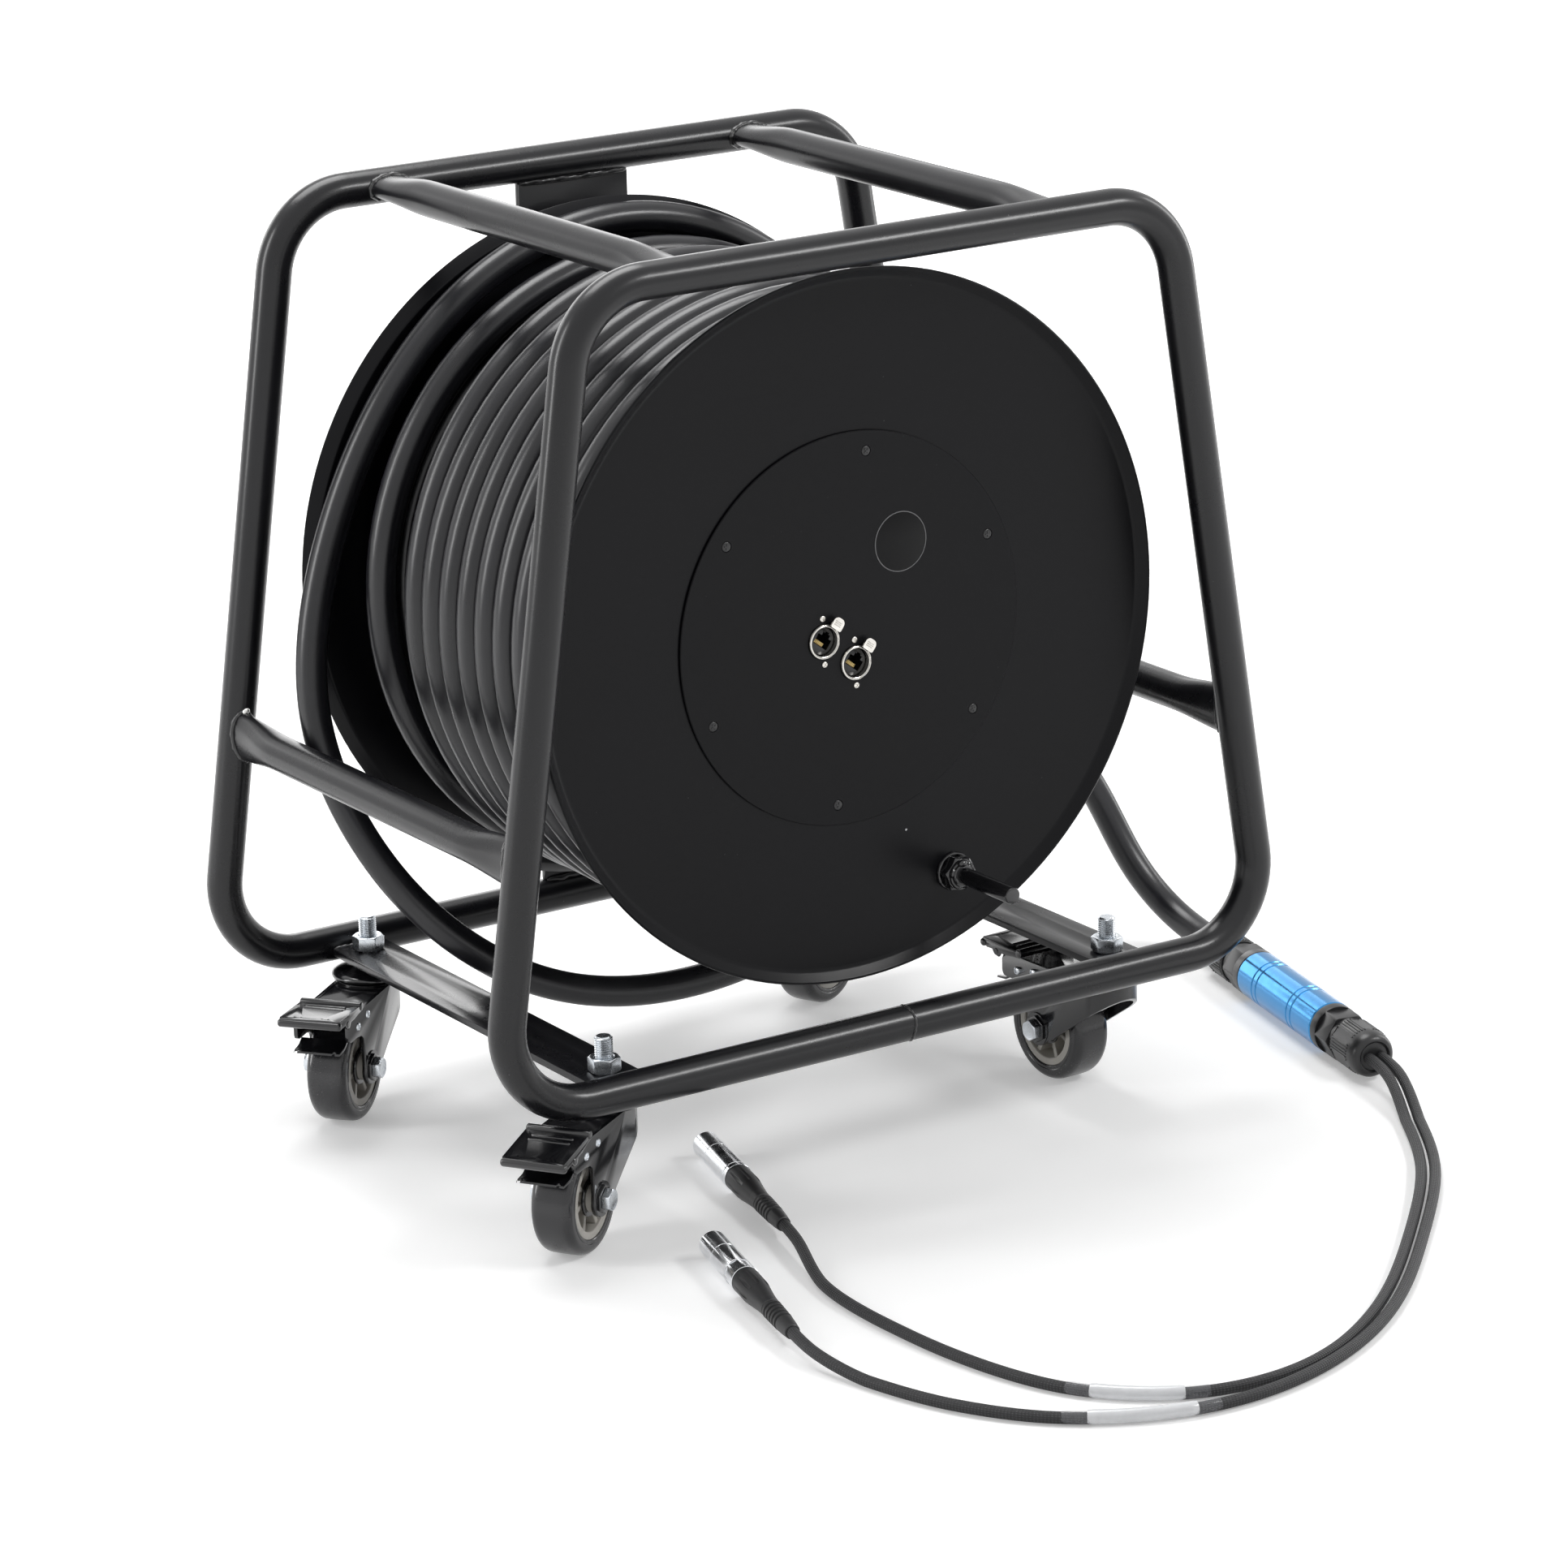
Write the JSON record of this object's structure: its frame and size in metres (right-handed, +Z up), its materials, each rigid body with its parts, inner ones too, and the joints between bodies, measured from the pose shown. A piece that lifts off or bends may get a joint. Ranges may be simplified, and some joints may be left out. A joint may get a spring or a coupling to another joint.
{
  "type": "network snake cable",
  "caption": "Stage cable reel on a tube trolley with braked casters: a wound network snake, panel sockets on the drum, and a loose end with splice, tails and plugs.",
  "frame": {"origin": "on the floor under the middle of the trolley", "axes": "+Z up, the drum's shaft along Y with the connector panel facing -Y, +X to the right seen from the panel's side"},
  "size_m": [0.732, 0.8275, 0.632],
  "materials": {
    "black_tube": "satin black powder coat",
    "black_coat": "satin black paint",
    "panel_black": "fine matt black",
    "steel": "turned",
    "zinc": "zinc plated",
    "nickel": "nickel plated",
    "chrome": "bright",
    "caster_black": "gloss black",
    "hub_grey": "matt",
    "tyre": "smooth",
    "cable": "satin",
    "gland_black": "matt",
    "blue_anodised": "anodised blue",
    "tail_braid": "braided sleeve",
    "boot_black": "matt"
  },
  "bodies": {
    "frame": {"front_hoop": "black_tube", "rear_hoop": "black_tube", "top_tube_left": "black_tube", "top_tube_right": "black_tube", "side_tube_left": "black_tube", "side_tube_right": "black_tube", "caster_bar_left": "black_tube", "caster_bar_right": "black_tube", "spindle_plate": "black_tube", "spindle": "steel", "spindle_nut": "zinc", "cable_loose_turn": "cable", "splice_gland_in": "gland_black", "splice_body": "blue_anodised", "splice_gland_out": "gland_black", "tail_inner": "tail_braid", "tail_outer": "tail_braid", "plug_boot_inner": "boot_black", "plug_shell_inner": "chrome", "plug_boot_outer": "boot_black", "plug_shell_outer": "chrome", "caster_stem_front_left": "zinc", "caster_nut_front_left": "zinc", "caster_stem_rear_left": "zinc", "caster_nut_rear_left": "zinc", "caster_stem_front_right": "zinc", "caster_nut_front_right": "zinc", "caster_stem_rear_right": "zinc", "caster_nut_rear_right": "zinc"},
    "drum": {"drum_barrel": "black_coat", "rear_flange": "black_coat", "front_flange": "black_coat", "connector_panel": "panel_black", "socket_shell_1": "nickel", "socket_shell_2": "nickel", "crank_peg": "black_coat", "cable_core": "cable", "cable_winding": "cable"},
    "tab_1": {"socket_tab_1": "nickel"},
    "tab_2": {"socket_tab_2": "nickel"},
    "fork_front_left": {"caster_fork_front_left": "caster_black", "caster_axle_front_left": "zinc"},
    "wheel_front_left": {"caster_hub_front_left": "hub_grey", "caster_tyre_front_left": "tyre"},
    "pedal_front_left": {"caster_pedal_front_left": "caster_black"},
    "fork_rear_left": {"caster_fork_rear_left": "caster_black", "caster_axle_rear_left": "zinc"},
    "wheel_rear_left": {"caster_hub_rear_left": "hub_grey", "caster_tyre_rear_left": "tyre"},
    "pedal_rear_left": {"caster_pedal_rear_left": "caster_black"},
    "fork_front_right": {"caster_fork_front_right": "caster_black", "caster_axle_front_right": "zinc"},
    "wheel_front_right": {"caster_hub_front_right": "hub_grey", "caster_tyre_front_right": "tyre"},
    "pedal_front_right": {"caster_pedal_front_right": "caster_black"},
    "fork_rear_right": {"caster_fork_rear_right": "caster_black", "caster_axle_rear_right": "zinc"},
    "wheel_rear_right": {"caster_hub_rear_right": "hub_grey", "caster_tyre_rear_right": "tyre"},
    "pedal_rear_right": {"caster_pedal_rear_right": "caster_black"}
  },
  "joints": [
    {"name": "drum_spin", "type": "hinge", "parent": "frame", "child": "drum", "pos_m": [0, 0.0144, 0.3604], "axis": [0, 1, 0], "continuous": true},
    {"name": "socket_tab_press_1", "type": "slide", "parent": "drum", "child": "tab_1", "axis": [0, 1, 0], "range_m": [0, 0.001], "stiffness_N_per_m": 400},
    {"name": "socket_tab_press_2", "type": "slide", "parent": "drum", "child": "tab_2", "axis": [0, 1, 0], "range_m": [0, 0.001], "stiffness_N_per_m": 400},
    {"name": "swivel_front_left", "type": "hinge", "parent": "frame", "child": "fork_front_left", "pos_m": [-0.198, -0.1326, 0.09], "axis": [0, 0, 1], "continuous": true},
    {"name": "wheel_spin_front_left", "type": "hinge", "parent": "fork_front_left", "child": "wheel_front_left", "pos_m": [-0.24111, -0.16168, 0.0375], "axis": [0.5592, -0.829, 0], "continuous": true},
    {"name": "brake_pedal_front_left", "type": "hinge", "parent": "fork_front_left", "child": "pedal_front_left", "pos_m": [-0.25603, -0.17174, 0.0866], "axis": [-0.5592, 0.829, 0], "range_deg": [0, 12]},
    {"name": "swivel_rear_left", "type": "hinge", "parent": "frame", "child": "fork_rear_left", "pos_m": [-0.198, 0.1754, 0.09], "axis": [0, 0, 1], "continuous": true},
    {"name": "wheel_spin_rear_left", "type": "hinge", "parent": "fork_rear_left", "child": "wheel_rear_left", "pos_m": [-0.23818, 0.14239, 0.0375], "axis": [0.6347, -0.7727, 0], "continuous": true},
    {"name": "brake_pedal_rear_left", "type": "hinge", "parent": "fork_rear_left", "child": "pedal_rear_left", "pos_m": [-0.25209, 0.13097, 0.0866], "axis": [-0.6347, 0.7727, 0], "range_deg": [-12, 0]},
    {"name": "swivel_front_right", "type": "hinge", "parent": "frame", "child": "fork_front_right", "pos_m": [0.198, -0.1326, 0.09], "axis": [0, 0, 1], "continuous": true},
    {"name": "wheel_spin_front_right", "type": "hinge", "parent": "fork_front_right", "child": "wheel_front_right", "pos_m": [0.19573, -0.08065, 0.0375], "axis": [-0.999, -0.0436, 0], "continuous": true},
    {"name": "brake_pedal_front_right", "type": "hinge", "parent": "fork_front_right", "child": "pedal_front_right", "pos_m": [0.19495, -0.06267, 0.0866], "axis": [0.999, 0.0436, 0], "range_deg": [-12, 0]},
    {"name": "swivel_rear_right", "type": "hinge", "parent": "frame", "child": "fork_rear_right", "pos_m": [0.198, 0.1754, 0.09], "axis": [0, 0, 1], "continuous": true},
    {"name": "wheel_spin_rear_right", "type": "hinge", "parent": "fork_rear_right", "child": "wheel_rear_right", "pos_m": [0.15095, 0.15326, 0.0375], "axis": [0.4258, -0.9048, 0], "continuous": true},
    {"name": "brake_pedal_rear_right", "type": "hinge", "parent": "fork_rear_right", "child": "pedal_rear_right", "pos_m": [0.13466, 0.1456, 0.0866], "axis": [-0.4258, 0.9048, 0], "range_deg": [-12, 0]}
  ]
}
